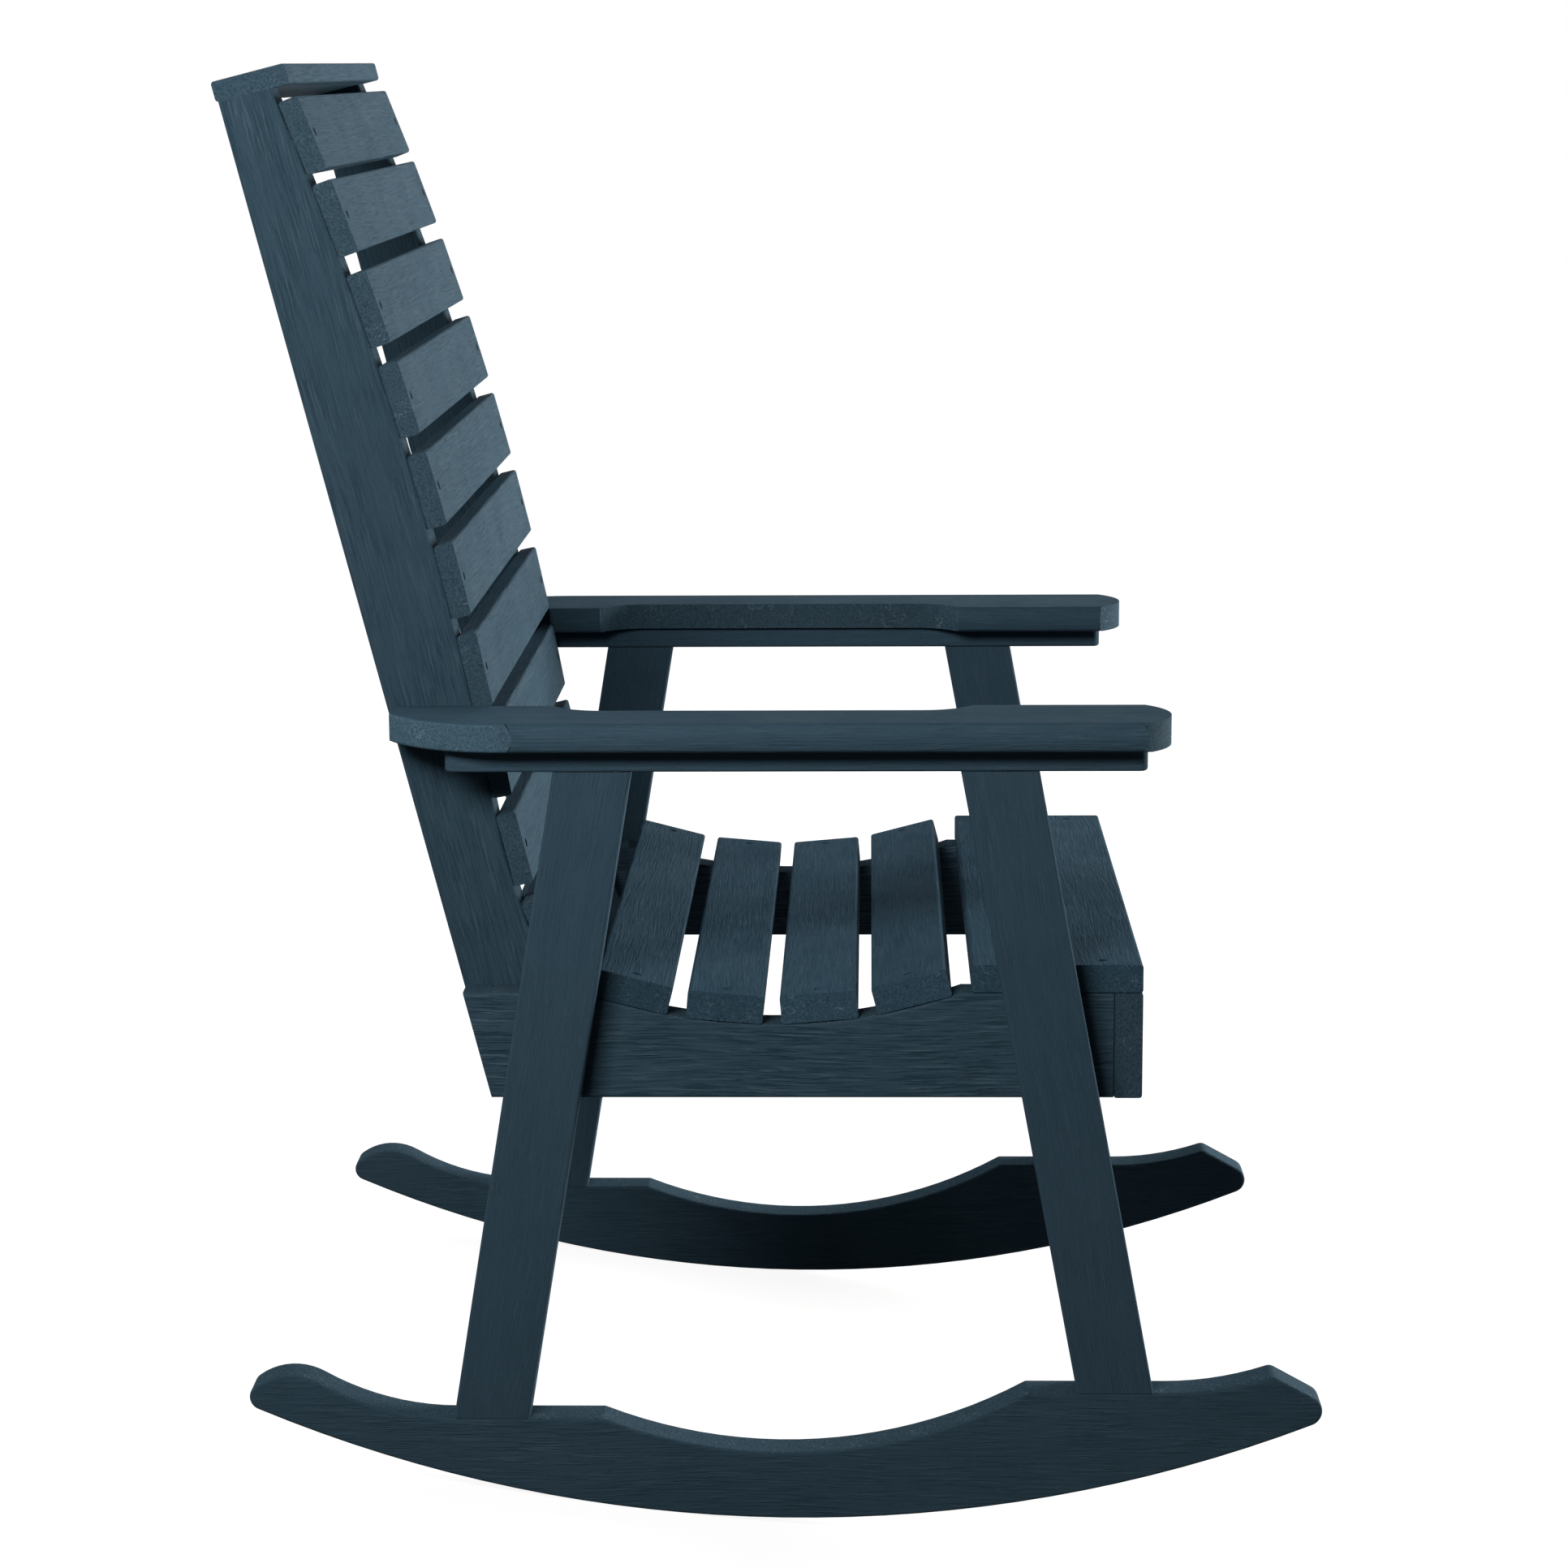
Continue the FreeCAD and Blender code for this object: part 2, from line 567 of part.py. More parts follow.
# Back
BULGE_CENTRE = f"({size('post_depth')} - {size('post_bulge_radius')})"
WAIST_SPAN = f"({size('post_bulge_height')} - {size('post_waist_height')})"
WAIST_REACH = f"({size('post_bulge_radius')} + {size('post_waist_radius')})"
WAIST_CENTRE = f"({BULGE_CENTRE} + sqrt({WAIST_REACH}^2 - {WAIST_SPAN}^2))"
WAIST_JOIN = f"({size('post_bulge_height')} - {WAIST_SPAN} * {size('post_bulge_radius')} / {WAIST_REACH})"
POST_HEAD_DEPTH = (f"({BULGE_CENTRE} + sqrt({size('post_bulge_radius')}^2"
                   f" - ({size('post_length')} - {size('post_bulge_height')})^2))")
FOOT_HEIGHT = f"({size('rail_bottom')} + {size('post_foot_clearance')})"


def back_post(name, side):
    tilt = size("back_tilt")
    bulge = size("post_bulge_radius")
    waist = size("post_waist_radius")
    flare = size("post_flare")
    top = size("post_length")
    join_front = f"({BULGE_CENTRE} + sqrt({bulge}^2 - ({WAIST_JOIN} - {size('post_bulge_height')})^2))"
    flare_along = f"({size('post_waist_height')} - {waist} * sin({flare}))"
    flare_front = f"({WAIST_CENTRE} - {waist} * cos({flare}))"
    drop = f"({size('rail_top')} - {FOOT_HEIGHT})"
    run = f"(({drop} + {flare_along} * cos({tilt}) + {flare_front} * sin({tilt})) / cos({tilt} + {flare}))"
    foot_along = f"({flare_along} - {run} * cos({flare}))"
    foot_front = f"({flare_front} + {run} * sin({flare}))"
    corners = [
        (f"-{foot_front}", foot_along),
        ("0", f"-{drop} / cos({tilt})"),
        ("0", top),
        (f"-{POST_HEAD_DEPTH}", top, bulge, 1),
        (f"-{join_front}", WAIST_JOIN, waist, -1),
        (f"-{flare_front}", flare_along),
    ]
    body = new_body(name)
    board = pad(body, outline(body, "YZ_Plane", corners), size("board_thick"), symmetric=True)

    def lengthwise(edge):
        rise = abs(edge.Vertexes[0].Z - edge.Vertexes[-1].Z)
        return along_board(edge) and rise > number(size("post_depth"))

    fillet(body, board, size("edge_round"), lengthwise)
    place(body, f"{side} * {POST_MIDDLE}", size("back_reach"), size("rail_top"), angle=f"-{tilt} * 1deg")
    return body


BACK_SLATS = 10


def back_slat_along(index):
    """Distance of a back slat's middle along the post, counted from the top slat down."""
    top = f"({size('post_length')} - {size('top_slat_drop')})"
    if index == 0:
        return top
    pitch = f"({size('back_slat_width')} + {size('back_slat_gap')})"
    return f"({top} - {size('back_slat_width')} - {size('top_slat_gap')} - {index - 1} * {pitch})"


def on_post(index, height="0"):
    """Y, Z and lean of a point over the middle of a back slat's rear face."""
    along = back_slat_along(index)
    if number(along) - number(half(size("back_slat_width"))) > number(WAIST_JOIN):
        radius = size("post_bulge_radius")
        centre = size("post_bulge_height")
        distance = f"({radius} + {size('slat_seat_clearance')} + {height})"
        turn = f"asin(({along} - {centre}) / {radius})"
        y, z = from_post(f"({centre} + {distance} * sin({turn}))",
                         f"({BULGE_CENTRE} + {distance} * cos({turn}))")
        return y, z, f"({size('back_tilt')} * 1deg + {turn})"
    radius = size("post_waist_radius")
    centre = size("post_waist_height")
    distance = f"({chord_distance(radius, size('back_slat_width'))} - {height})"
    turn = f"asin(({along} - {centre}) / {radius})"
    y, z = from_post(f"({centre} + {distance} * sin({turn}))",
                     f"({WAIST_CENTRE} - {distance} * cos({turn}))")
    return y, z, f"({size('back_tilt')} * 1deg - {turn})"


def back_slat(index):
    name = f"back_slat_{index + 1:02d}_board"
    body = cross_board(name, size("back_slat_width"), size("back_slat_thick"), BACK_LENGTH)
    y, z, lean = on_post(index)
    place(body, "0", y, z, angle=f"-{lean}")
    return body


def top_cap():
    body = cross_board("top_cap_board", size("back_slat_width"), size("back_slat_thick"), BACK_LENGTH)
    middle = f"({half(size('back_slat_width'))} - {size('cap_rear_overhang')})"
    y, z = from_post(size("post_length"), middle)
    place(body, "0", y, z, angle=f"-90deg - {size('back_tilt')} * 1deg")
    return body


def rear_cross_rail():
    """Board between the two posts, behind and below the seat."""
    length = f"(2 * {POST_INNER})"
    body = cross_board("rear_cross_rail_board", size("cross_rail_width"), size("cross_rail_thick"), length)
    y, z = from_post(CROSS_RAIL_ALONG, size("cross_rail_inset"))
    place(body, "0", y, z, angle=f"-{size('back_tilt')} * 1deg")
    return body


CROSS_RAIL_ALONG = f"(-{size('cross_rail_drop')} - {half(size('cross_rail_width'))})"


# Screws: each template points down local -Z with the top of its head at the local origin
def screw_profile(name, head, head_height, shank, length, above):
    """Half section turned round Z; above is how far it stands over the head, as a bore does."""
    point = half(shank)
    corners = [
        ("0", f"-({length})"),
        (half(shank), f"-({length}) + {point}"),
        (half(shank), f"-({head_height})"),
        (half(head), f"-({head_height})"),
        (half(head), above),
        ("0", above),
    ]
    body = new_body(name)
    section = outline(body, "XZ_Plane", corners)
    turned = body.newObject("PartDesign::Revolution", f"{name}_turned")
    turned.Profile = section
    turned.ReferenceAxis = (section, ["V_Axis"])
    turned.Angle = 360
    doc.recompute()
    return body


def screw_template(kind, family, length):
    """A screw with a square socket, and the stepped bore that clears it."""
    shank = size(f"{family}_shank")
    head = size(f"{family}_head")
    head_height = size(f"{family}_head_height")
    screw = screw_profile(f"{kind}_screw", head, head_height, shank, length, "0")
    wide = half(size("socket_width"))
    square = [(f"-{wide}", f"-{wide}"), (wide, f"-{wide}"), (wide, wide), (f"-{wide}", wide)]
    socket = screw.newObject("PartDesign::Pocket", f"{kind}_socket")
    socket.Profile = outline(screw, "XY_Plane", square, "socket")
    socket.setExpression("Length", size("socket_depth"))
    before = screw.Shape.Volume
    doc.recompute()
    if screw.Shape.Volume >= before:
        raise RuntimeError(f"the socket of {kind} cuts nothing")
    bore = screw_profile(f"{kind}_bore", f"({head} + 2 * {size('head_play')})", head_height,
                         f"({shank} + 2 * {size('screw_play')})", f"({length} + {size('screw_play')})",
                         BORE_ABOVE)
    return screw, bore


BORE_ABOVE = f"({size('rail_top')} - {size('rail_bottom')})"

groups = {}
bores = {}


def drive(group, template, targets, x, y, z, axis, angle):
    """Put one screw in its group and its bore in every piece that it goes through."""
    screw, bore = template
    count = len(groups.setdefault(group, []))
    links = []
    for part, label in ((screw, "screw"), (bore, "bore")):
        link = doc.addObject("App::Link", f"{group}_{label}_{count + 1}")
        link.LinkedObject = part
        place(link, x, y, z, axis, angle)
        links.append(link)
    groups[group].append(links[0])
    for target in targets:
        bores.setdefault(target, []).append(links[1])


def add_boards():
    """Every board of the chair, by node name."""
    boards = {}
    for name, side in SIDES:
        boards[f"rocker_{name}"] = rocker(f"rocker_{name}_board", side)
        boards[f"front_leg_{name}"] = leg(f"front_leg_{name}_board", side, FRONT_FOOT, FRONT_HEAD,
                                          size("front_flat_height"))
        boards[f"rear_leg_{name}"] = leg(f"rear_leg_{name}_board", side, REAR_FOOT, REAR_HEAD,
                                         size("rear_flat_height"))
        boards[f"arm_support_{name}"] = arm_support(f"arm_support_{name}_board", side)
        boards[f"arm_{name}"] = arm(f"arm_{name}_board", side)
        boards[f"seat_rail_{name}"] = seat_rail(f"seat_rail_{name}_board", side)
        boards[f"back_post_{name}"] = back_post(f"back_post_{name}_board", side)
    boards["front_apron"] = front_apron()
    boards["rear_cross_rail"] = rear_cross_rail()
    boards["seat_slat_front"] = front_seat_slat()
    for index in range(NARROW_SLATS):
        boards[f"seat_slat_{index + 2}"] = narrow_seat_slat(index)
    for index in range(BACK_SLATS):
        boards[f"back_slat_{index + 1:02d}"] = back_slat(index)
    boards["top_cap"] = top_cap()
    return boards


def add_slat_screws():
    recess = size("slat_screw_recess")
    back = screw_template("back_slat", "slat_screw", size("back_screw_length"))
    seat = screw_template("seat_slat", "slat_screw", size("seat_screw_length"))
    cap = screw_template("cap", "slat_screw", size("cap_screw_length"))
    for name, side in SIDES:
        for index in range(BACK_SLATS):
            y, z, lean = on_post(index, f"({size('back_slat_thick')} - {recess})")
            drive("back_slat_screws", back, (f"back_slat_{index + 1:02d}", f"back_post_{name}"),
                  f"{side} * {POST_MIDDLE}", y, z, (1, 0, 0), f"90deg - {lean}")
        for index in range(NARROW_SLATS):
            y, z = on_dish(index, f"({size('seat_slat_thick')} - {recess})")
            drive("seat_slat_screws", seat, (f"seat_slat_{index + 2}", f"seat_rail_{name}"),
                  f"{side} * {RAIL_MIDDLE}", y, z, (1, 0, 0), f"-{seat_slat_angle(index)}")
        for step in (-1, 1):
            offset = f"{step} * {half(size('front_slat_screw_spread'))}"
            y = f"(-{size('seat_front_reach')} + {half(size('front_slat_width'))} + {offset})"
            z = f"({size('rail_top')} + {size('seat_slat_thick')} - {recess})"
            drive("seat_slat_screws", seat, ("seat_slat_front", f"seat_rail_{name}"),
                  f"{side} * {RAIL_MIDDLE}", y, z, (1, 0, 0), "0deg")
        for step in (-1, 1):
            forward = f"({half(POST_HEAD_DEPTH)} + {step} * {half(size('cap_screw_spread'))})"
            y, z = from_post(f"({size('post_length')} + {size('back_slat_thick')} - {recess})", forward)
            drive("cap_screws", cap, ("top_cap", f"back_post_{name}"),
                  f"{side} * {POST_MIDDLE}", y, z, (1, 0, 0), f"-{size('back_tilt')} * 1deg")


def add_frame_screws():
    recess = size("frame_screw_recess")
    front_leg = screw_template("front_leg", "frame_screw", size("front_leg_screw_length"))
    rear_leg = screw_template("rear_leg", "frame_screw", size("rear_leg_screw_length"))
    apron = screw_template("apron", "frame_screw", size("apron_screw_length"))
    post_arm = screw_template("post_arm", "frame_screw", size("post_arm_screw_length"))
    cross_rail = screw_template("cross_rail", "frame_screw", size("cross_rail_screw_length"))
    support = screw_template("support", "frame_screw", size("support_screw_length"))
    arm_screw = screw_template("arm", "slat_screw", size("arm_screw_length"))
    rocker_screw = screw_template("rocker", "frame_screw", size("rocker_screw_length"))
    spread = half(size("pair_spread"))
    post_face = f"({POST_INNER} + {recess})"
    arm_middle = f"({ARM_BOTTOM} + {half(size('arm_thick'))})"
    for name, side in SIDES:
        outward = f"{-90 * side}deg"
        rail = f"seat_rail_{name}"
        post = f"back_post_{name}"
        for level in ("rail_screw_low", "rail_screw_high"):
            height = f"({size('rail_bottom')} + {size(level)})"
            front = leg_middle(FRONT_FOOT, FRONT_HEAD, size("front_flat_height"), height)
            drive("front_leg_screws", front_leg, (rail, f"front_leg_{name}"),
                  f"{side} * ({POST_OUTER} + {recess})", front, height, (0, 1, 0), outward)
            rear = leg_middle(REAR_FOOT, REAR_HEAD, size("rear_flat_height"), height)
            rear = f"({rear} + {size('rear_leg_screw_shift')})"
            drive("rear_leg_screws", rear_leg, (post, rail, f"rear_leg_{name}"),
                  f"{side} * {post_face}", rear, height, (0, 1, 0), outward)
            front_face = f"(-{size('seat_front_reach')} + {recess})"
            drive("apron_screws", apron, ("front_apron", rail),
                  f"{side} * {RAIL_MIDDLE}", front_face, height, (1, 0, 0), "90deg")
        post_middle = f"({rear_edge_at(arm_middle)} - {half(size('post_depth'))} / cos({size('back_tilt')}))"
        drive("post_arm_screws", post_arm, (post, f"arm_{name}"),
              f"{side} * {post_face}", post_middle, arm_middle, (0, 1, 0), outward)
        for step in (-1, 1):
            offset = f"{step} * {spread}"
            y, z = from_post(f"({CROSS_RAIL_ALONG} + {offset})",
                             f"({size('cross_rail_inset')} + {half(size('cross_rail_thick'))})")
            drive("cross_rail_screws", cross_rail, (post, "rear_cross_rail"),
                  f"{side} * ({POST_OUTER} - {recess})", y, z, (0, 1, 0), f"{90 * side}deg")
            for end, foot, head in (("front", FRONT_FOOT, FRONT_HEAD), ("rear", REAR_FOOT, REAR_HEAD)):
                flat = size(f"{end}_flat_height")
                leg_name = f"{end}_leg_{name}"
                drive("support_screws", support, (f"arm_support_{name}", leg_name),
                      f"{side} * {LEG_MIDDLE}", f"({head} + {offset})",
                      f"({ARM_BOTTOM} - {recess})", (1, 0, 0), "0deg")
                low = f"({flat} + {size('rocker_screw_bite')} - {size('rocker_screw_length')})"
                drive("rocker_screws", rocker_screw, (f"rocker_{name}", leg_name),
                      f"{side} * {LEG_MIDDLE}", f"({foot} + {offset})", low, (1, 0, 0), "180deg")
        under = f"({size('leg_top')} + {size('slat_screw_recess')})"
        for step in (-1, 0, 1):
            along = f"({step} * {size('arm_screw_pitch')})"
            drive("arm_screws", arm_screw, (f"arm_support_{name}", f"arm_{name}"),
                  f"{side} * {LEG_MIDDLE}", along, under, (1, 0, 0), "180deg")


boards = add_boards()
add_slat_screws()
add_frame_screws()

# Bore each board, and gather each kind of screw
nodes = []
for name, board in boards.items():
    piece = board
    if name in bores:
        tool = doc.addObject("Part::Compound", f"{name}_bores")
        tool.Links = bores[name]
        piece = doc.addObject("Part::Cut", name)
        piece.Base = board
        piece.Tool = tool
    piece.Label = name
    nodes.append(piece)
for name, screws in groups.items():
    group = doc.addObject("Part::Compound", name)
    group.Links = screws
    group.Label = name
    nodes.append(group)
for piece in nodes:
    place(piece, "0", f"-{ORIGIN_BACK}", REST_RISE, angle=f"-{size('rest_lean')} * 1deg")
doc.recompute()

for item in doc.Objects:
    if "Invalid" in item.State or "Error" in item.State:
        raise RuntimeError(f"{item.Name} failed: {item.State}")
for piece in nodes:
    if piece.Shape.isNull() or not piece.Shape.isValid():
        raise RuntimeError(f"{piece.Label} has no valid shape")
    expected = len(groups.get(piece.Label, (1,)))
    if len(piece.Shape.Solids) != expected:
        raise RuntimeError(f"{piece.Label} has {len(piece.Shape.Solids)} solids, not {expected}")

os.makedirs("parts", exist_ok=True)
for piece in nodes:
    piece.Shape.exportStep(f"parts/{piece.Label}.step")

box = FreeCAD.BoundBox()
for piece in nodes:
    box.add(piece.Shape.optimalBoundingBox(False))
print(f"{len(nodes)} nodes, X {box.XMin:.1f} {box.XMax:.1f}, Y {box.YMin:.1f} {box.YMax:.1f}, "
      f"Z {box.ZMin:.2f} {box.ZMax:.1f}")
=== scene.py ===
import math

import bpy
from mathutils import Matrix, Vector

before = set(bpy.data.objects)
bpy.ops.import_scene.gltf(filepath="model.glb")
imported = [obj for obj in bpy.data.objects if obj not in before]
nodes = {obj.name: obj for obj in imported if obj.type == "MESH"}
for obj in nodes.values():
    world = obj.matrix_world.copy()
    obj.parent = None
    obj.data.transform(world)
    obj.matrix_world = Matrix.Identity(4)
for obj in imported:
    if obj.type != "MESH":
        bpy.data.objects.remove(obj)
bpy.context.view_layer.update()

# The chair stands at rest, leaning back on its runners. Directions along its boards are given for the level
# chair, and turned by this lean.
REST_LEAN = math.radians(7)


def leaned(y, z):
    """Unit vector in the chair's side plane, from its level direction."""
    length = math.hypot(y, z)
    y, z = y / length, z / length
    return (0.0,
            y * math.cos(REST_LEAN) + z * math.sin(REST_LEAN),
            z * math.cos(REST_LEAN) - y * math.sin(REST_LEAN))


ACROSS = (1.0, 0.0, 0.0)
LENGTHWISE = leaned(1, 0)
UPRIGHT = leaned(0, 1)
POST = leaned(math.sin(math.radians(14)), math.cos(math.radians(14)))
FRONT_LEG = leaned(93.2, 501)
REAR_LEG = leaned(-87.6, 522.8)

# Places in metres: x from the chair's middle plane, the others from the origin along LENGTHWISE or UPRIGHT. Where
# there are two numbers, one kind of surface gives way to another between them.
ARM_OUTER_EDGE = (0.3440, 0.3450)
ARM_INNER_EDGE = (0.2655, 0.2662)
ARM_MIDDLE_HEIGHT = 0.63334
MOULDED_FRONT = -0.3574
MOULDED_REAR_OUTSIDE = 0.1270
MOULDED_REAR_INSIDE = 0.2400
SWEEP_START = (0.10, 0.14)
RAIL_TOP = 0.42104
APRON_REAR = -0.33703
FRONT_BOARD_REAR = (-0.2253, -0.2247)

# How strongly the arm's moulded edge is crowned from top to bottom, and how strongly its ends curve with that
CROWN = 22.0
END_CURVE = 35.0

# Half the width of a joint line, and half the width of every other limit between two kinds of surface
HALF_SEAM = 0.0005
SOFT_LIMIT = 0.0004

# Depth of the grain's relief in metres, on a board whose own relief is 1
RELIEF_DEPTH = 0.0006

# Lumber colours: the moulded skin with the dark and pale streaks of its grain, the sawn or routed faces, and
# the joints round the front seat board
SKIN = (0.0270, 0.0525, 0.0745, 1)
SKIN_DARK = (0.0140, 0.0325, 0.0485, 1)
SKIN_LIGHT = (0.0520, 0.0860, 0.1130, 1)
CUT = (0.0340, 0.0605, 0.0820, 1)
CUT_DARK = (0.0155, 0.0330, 0.0470, 1)
CUT_LIGHT = (0.0800, 0.1150, 0.1400, 1)
SEAM = (0.0020, 0.0055, 0.0090, 1)

# Painted light and shade: some boards are painted lighter or darker than the others, for how the lamps fall on
# them, and the seat boards are painted less red against the warm front light
PAINTED_LIGHTNESS = {"back_post": 0.90, "arm_support": 1.05, "arm_": 1.10, "top_cap": 1.08, "seat_slat_2": 1.12,
             "seat_slat_3": 1.15, "seat_slat_5": 0.85}
SEAT_PAINTED_TINT = (0.88, 1.00, 1.04)


class Nodes:
    """Short names for the nodes of one material or world."""

    def __init__(self, owner):
        owner.use_nodes = True
        self.tree = owner.node_tree
        self.tree.nodes.clear()

    def add(self, kind, inputs=None, **settings):
        node = self.tree.nodes.new(kind)
        for key, value in settings.items():
            setattr(node, key, value)
        for key, value in (inputs or {}).items():
            socket = node.inputs[key]
            if isinstance(value, bpy.types.NodeSocket):
                self.tree.links.new(value, socket)
            else:
                socket.default_value = value
        return node

    def math(self, operation, first, second=0.0, clamp=False):
        inputs = {0: first, 1: second}
        return self.add("ShaderNodeMath", inputs, operation=operation, use_clamp=clamp).outputs[0]

    def times(self, first, second):
        return self.math("MULTIPLY", first, second)

    def vector(self, operation, first, second=(0, 0, 0), output=0):
        inputs = {0: first, 1: second}
        return self.add("ShaderNodeVectorMath", inputs, operation=operation).outputs[output]

    def along(self, vector, direction):
        return self.vector("DOT_PRODUCT", vector, direction, output=1)

    def facing_along(self, facing, direction):
        """1 on a face square to direction, whichever way it looks, and 0 on a face along it."""
        return self.math("ABSOLUTE", self.along(facing, direction))

    def scaled(self, vector, factor):
        return self.add("ShaderNodeVectorMath", {0: vector, "Scale": factor}, operation="SCALE").outputs[0]

    def centred(self, colour, reach):
        """Vector of a noise's colour, moved to lie about zero and scaled to reach."""
        return self.scaled(self.vector("SUBTRACT", colour, (0.5, 0.5, 0.5)), reach)

    def noise(self, place, scale, detail=2.0, roughness=0.5, distortion=0.0, output="Fac"):
        inputs = {"Vector": place, "Scale": scale, "Detail": detail, "Roughness": roughness,
                  "Distortion": distortion}
        return self.add("ShaderNodeTexNoise", inputs).outputs[output]

    def ramp(self, value, low, high, start=0.0, end=1.0):
        inputs = {"Value": value, "From Min": low, "From Max": high, "To Min": start, "To Max": end}
        return self.add("ShaderNodeMapRange", inputs, clamp=True).outputs[0]

    def falling(self, value, low, high):
        return self.ramp(value, low, high, 1.0, 0.0)

    def between(self, value, low, high):
        """1 where value lies from low to high."""
        return self.times(self.ramp(value, low - SOFT_LIMIT, low + SOFT_LIMIT),
                          self.falling(value, high - SOFT_LIMIT, high + SOFT_LIMIT))

    def mix(self, factor, first, second):
        """Colour from first, at factor 0, to second, at factor 1."""
        return self.add("ShaderNodeMix", {0: factor, 6: first, 7: second}, data_type="RGBA").outputs[2]

    def mix_numbers(self, factor, first, second):
        return self.add("ShaderNodeMix", {0: factor, 2: first, 3: second}, data_type="FLOAT").outputs[0]

    def shows_background(self):
        """1 for the rays that show the background: seen straight, in a reflection or through glass."""
        path = self.add("ShaderNodeLightPath").outputs
        seen = self.math("MAXIMUM", path["Is Camera Ray"], path["Is Glossy Ray"])
        return self.math("MAXIMUM", seen, path["Is Transmission Ray"])


def moulded_skin(n, place, grain, fineness, contrast, patches):
    """Colour and height of the embossed grain."""
    # the noise is drawn out along the board, 25 times for the strokes and 7 times for the hairs
    lengthwise = n.scaled(grain, n.along(place, grain))
    drawn = n.vector("SUBTRACT", place, n.scaled(lengthwise, 0.96))
    hair_drawn = n.vector("SUBTRACT", place, n.scaled(lengthwise, 0.86))

    # raised strokes and sunk grooves that come and go, hair-fine grain between them, and broad soft bands
    strength = n.ramp(n.noise(place, 26.0), 0.38, 0.62, 0.45, 1.0)
    stroke = n.times(n.ramp(n.noise(drawn, fineness, detail=1.0), 0.54, 0.61), strength)
    aside = n.vector("ADD", drawn, (0.7, 0.9, 0.4))
    groove = n.times(n.ramp(n.noise(aside, 1.15 * fineness, detail=1.0), 0.52, 0.61), strength)
    hair = n.noise(hair_drawn, 2.6 * fineness, detail=1.0)
    bands = n.noise(drawn, 60.0, roughness=0.6)

    tone = n.mix(n.times(stroke, 0.8 * contrast), SKIN, SKIN_LIGHT)
    tone = n.mix(n.math("MULTIPLY", groove, 1.1 * contrast, clamp=True), tone, SKIN_DARK)
    tone = n.mix(n.ramp(hair, 0.35, 0.70, 0.0, 0.20), tone, SKIN_LIGHT)
    tone = n.mix(n.ramp(bands, 0.35, 0.70, 0.0, 0.18), tone, SKIN_DARK)
    tone = n.mix(n.ramp(patches, 0.3, 0.75, 0.0, 0.20), tone, SKIN_DARK)
    height = n.math("SUBTRACT", stroke, n.times(groove, 0.9))
    height = n.math("ADD", height, n.times(hair, 0.25))
    return tone, height


def foamed_core(n, place):
    """Colour and height of a cut face: grit with faint swirls, a few pits and pale scuffs."""
    swirl = n.noise(place, 55.0, detail=1.5, distortion=2.2)
    ring = n.falling(n.math("ABSOLUTE", n.math("SUBTRACT", swirl, 0.5)), 0.0, 0.030)
    grit = n.noise(place, 620.0, roughness=0.6)
    cells = n.add("ShaderNodeTexVoronoi", {"Vector": place, "Scale": 240.0}).outputs["Distance"]
    pitted = n.ramp(n.noise(place, 110.0, detail=1.0), 0.58, 0.64)
    pits = n.times(n.falling(cells, 0.14, 0.30), pitted)
    worn = n.ramp(n.noise(place, 38.0), 0.47, 0.60)
    scuffs = n.times(n.times(ring, worn), n.ramp(grit, 0.40, 0.60))

    tone = n.mix(n.ramp(grit, 0.34, 0.66, 0.10, 1.0), CUT_DARK, CUT)
    tone = n.mix(n.times(scuffs, 0.85), tone, CUT_LIGHT)
    tone = n.mix(n.times(pits, 0.75), tone, CUT_DARK)
    height = n.math("ADD", n.times(ring, 0.35), n.times(grit, 0.45))
    height = n.math("SUBTRACT", height, n.times(pits, 1.4))
    return tone, height


